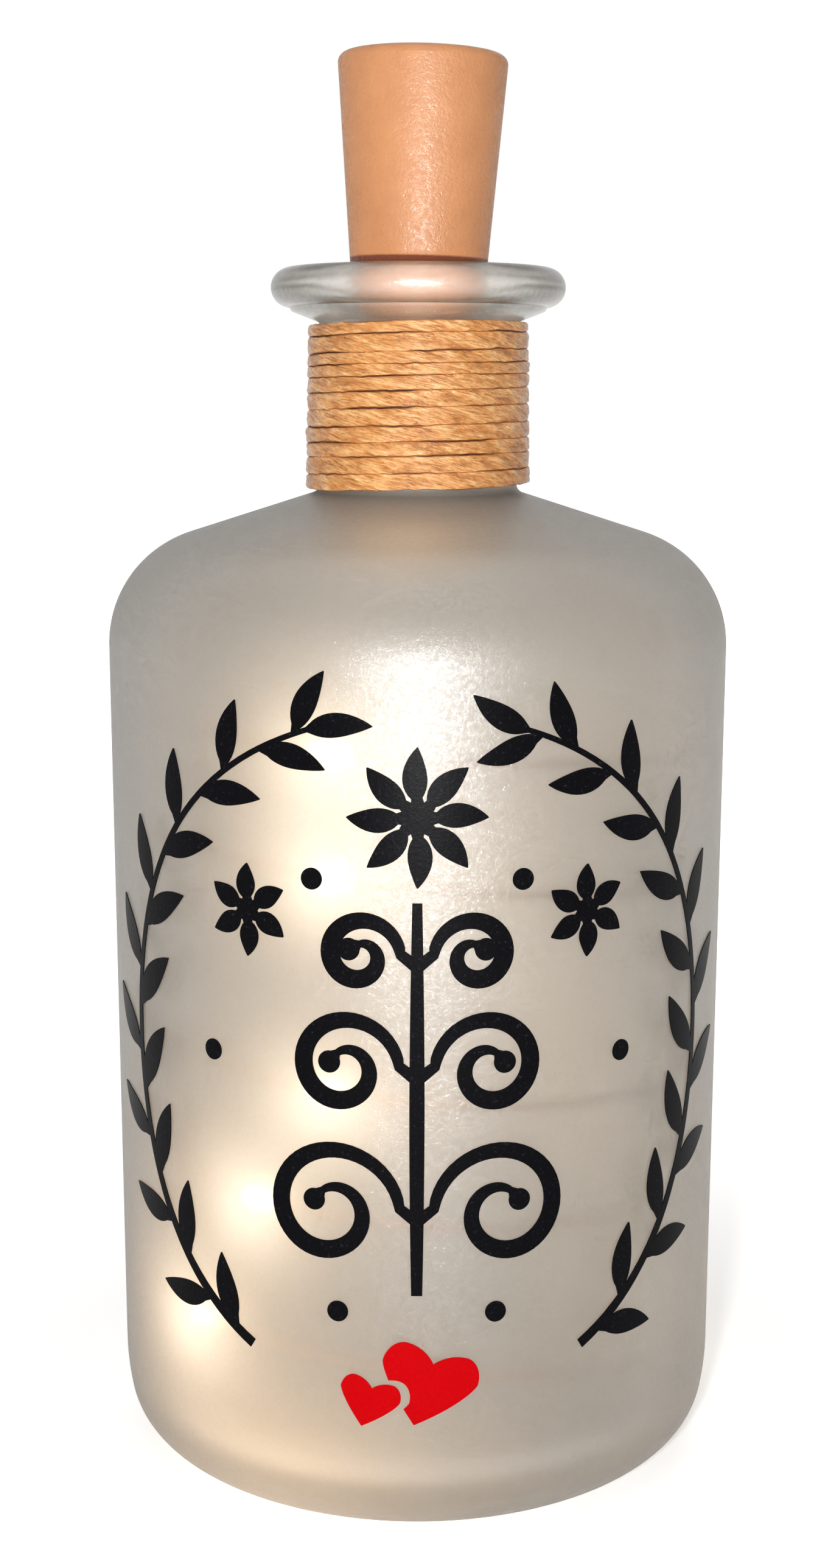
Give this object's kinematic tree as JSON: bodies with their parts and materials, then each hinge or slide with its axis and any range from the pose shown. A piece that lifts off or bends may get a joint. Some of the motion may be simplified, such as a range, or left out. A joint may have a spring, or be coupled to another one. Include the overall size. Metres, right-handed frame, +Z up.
{
  "type": "light-up bottle",
  "caption": "Frosted glass bottle with a cork-shaped battery light as its stopper, an LED string coiled inside, a cord-wound neck and vinyl ornament on its front.",
  "frame": {"origin": "centre of the bottle's base, on the surface it stands on", "axes": "+Z up along the bottle's axis, -Y towards the decorated front, +X to the right as the front is seen"},
  "size_m": [0.0802, 0.0807, 0.182],
  "materials": {
    "frosted_glass": "satin frosted, faint sparkle",
    "paper_cord": "twisted paper strand, slightly glossy",
    "black_vinyl": "satin self-adhesive film",
    "red_vinyl": "satin self-adhesive film",
    "copper_wire": "lacquered copper",
    "led_resin": "clear resin drop over a warm LED",
    "cork_plastic": "moulded, faint orange peel",
    "dark_plastic": "moulded, fine grain",
    "silicone": "translucent, matte",
    "spring_brass": "rolled strip",
    "cell_steel": "nickel-plated, lightly brushed",
    "board_green": "solder mask",
    "resistor_body": "lacquered"
  },
  "bodies": {
    "bottle": {"glass_bottle": "frosted_glass", "neck_twine": "paper_cord", "vinyl_branch_left": "black_vinyl", "vinyl_branch_right": "black_vinyl", "vinyl_scroll": "black_vinyl", "vinyl_blossom_top": "black_vinyl", "vinyl_blossom_left": "black_vinyl", "vinyl_blossom_right": "black_vinyl", "vinyl_dot_1": "black_vinyl", "vinyl_dot_2": "black_vinyl", "vinyl_dot_3": "black_vinyl", "vinyl_dot_4": "black_vinyl", "vinyl_dot_5": "black_vinyl", "vinyl_dot_6": "black_vinyl", "vinyl_heart_small": "red_vinyl", "vinyl_heart_large": "red_vinyl", "led_wire_coil": "copper_wire", "led_lead": "copper_wire", "led_bead_01": "led_resin", "led_bead_02": "led_resin", "led_bead_03": "led_resin", "led_bead_04": "led_resin", "led_bead_05": "led_resin", "led_bead_06": "led_resin", "led_bead_07": "led_resin", "led_bead_08": "led_resin", "led_bead_09": "led_resin", "led_bead_10": "led_resin"},
    "stopper": {"stopper_shell": "cork_plastic", "bottom_plug": "cork_plastic", "wire_grommet": "silicone", "series_resistor": "resistor_body", "inner_wire_positive": "copper_wire", "inner_wire_negative": "copper_wire", "negative_contact": "spring_brass", "positive_contact": "spring_brass"},
    "battery_core": {"button_cell_1": "cell_steel", "button_cell_2": "cell_steel", "button_cell_3": "cell_steel", "battery_holder": "dark_plastic", "top_contact": "spring_brass", "side_strip": "spring_brass", "switch_board": "board_green", "switch_housing": "dark_plastic", "core_cap": "cork_plastic"},
    "switch": {"switch_slider": "dark_plastic"}
  },
  "joints": [
    {"name": "stopper_lift", "type": "slide", "parent": "bottle", "child": "stopper", "axis": [0.0201, 0, 0.9998], "range_m": [0, 0.025], "deforming": ["led_lead"]},
    {"name": "core_pull", "type": "slide", "parent": "stopper", "child": "battery_core", "axis": [0.0201, 0, 0.9998], "range_m": [0, 0.03]},
    {"name": "switch_slide", "type": "slide", "parent": "battery_core", "child": "switch", "axis": [0.9998, 0, -0.0201], "range_m": [0, 0.002]}
  ]
}
